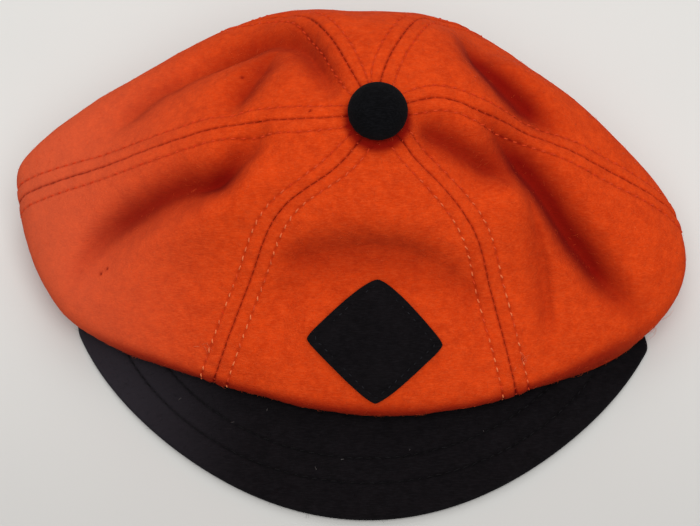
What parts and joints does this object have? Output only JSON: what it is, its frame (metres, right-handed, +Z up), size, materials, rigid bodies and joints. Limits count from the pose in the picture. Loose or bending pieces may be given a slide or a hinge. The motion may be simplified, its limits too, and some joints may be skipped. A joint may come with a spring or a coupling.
{
  "type": "felt beanie with a short brim",
  "caption": "Six-panel orange wool felt beanie with a black crescent brim, a covered top button and a plain diamond patch, resting on its rim.",
  "frame": {"origin": "middle of the cap's outline at the height of the surface it rests on", "axes": "+Z up out of the crown, the brim towards -Y, +X along the cap's longest way, to the right of someone facing the brim"},
  "size_m": [0.2098, 0.1609, 0.0754],
  "materials": {
    "crown_felt": "matt brushed wool felt",
    "brim_felt": "matt wool felt",
    "patch_felt": "matt wool felt",
    "button_felt": "matt wool felt"
  },
  "bodies": {
    "root": {"front_panel": "crown_felt", "front_left_panel": "crown_felt", "front_right_panel": "crown_felt", "rear_left_panel": "crown_felt", "rear_right_panel": "crown_felt", "back_panel": "crown_felt", "brim": "brim_felt", "patch": "patch_felt", "top_button": "button_felt"}
  },
  "joints": []
}
